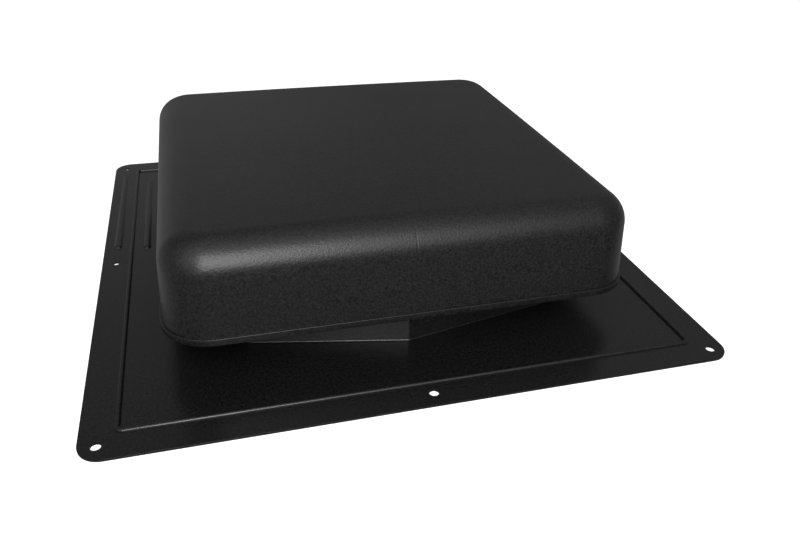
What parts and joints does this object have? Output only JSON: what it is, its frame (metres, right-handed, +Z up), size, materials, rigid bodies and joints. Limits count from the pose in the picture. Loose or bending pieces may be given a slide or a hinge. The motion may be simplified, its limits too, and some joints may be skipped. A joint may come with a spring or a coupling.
{
  "type": "square-top roof vent",
  "caption": "Low square-top static roof vent: a black moulded hood stands on posts over a flanged flashing base with a round screened throat.",
  "frame": {"origin": "centre of the flashing base, on its underside, which is the face that lies on the roof", "axes": "+Z up from the roof, +Y towards the rear of the vent where the stiffening beads are, +X to its right seen from the front"},
  "size_m": [0.4, 0.416, 0.091],
  "materials": {
    "flashing_plastic": "satin black moulded plastic, finely grained",
    "hood_plastic": "satin black moulded plastic, finely grained",
    "post_plastic": "plain black moulded plastic",
    "ring_plastic": "plain black moulded plastic",
    "screen_wire": "bright drawn wire",
    "screw_steel": "zinc-plated steel"
  },
  "bodies": {
    "root": {"flashing_base": "flashing_plastic", "hood": "hood_plastic", "post_front_left": "post_plastic", "post_front_right": "post_plastic", "post_rear_left": "post_plastic", "post_rear_right": "post_plastic", "post_screws": "screw_steel", "post_washers": "screw_steel", "insect_screen": "screen_wire", "screen_ring": "ring_plastic", "ring_screws": "screw_steel"}
  },
  "joints": []
}
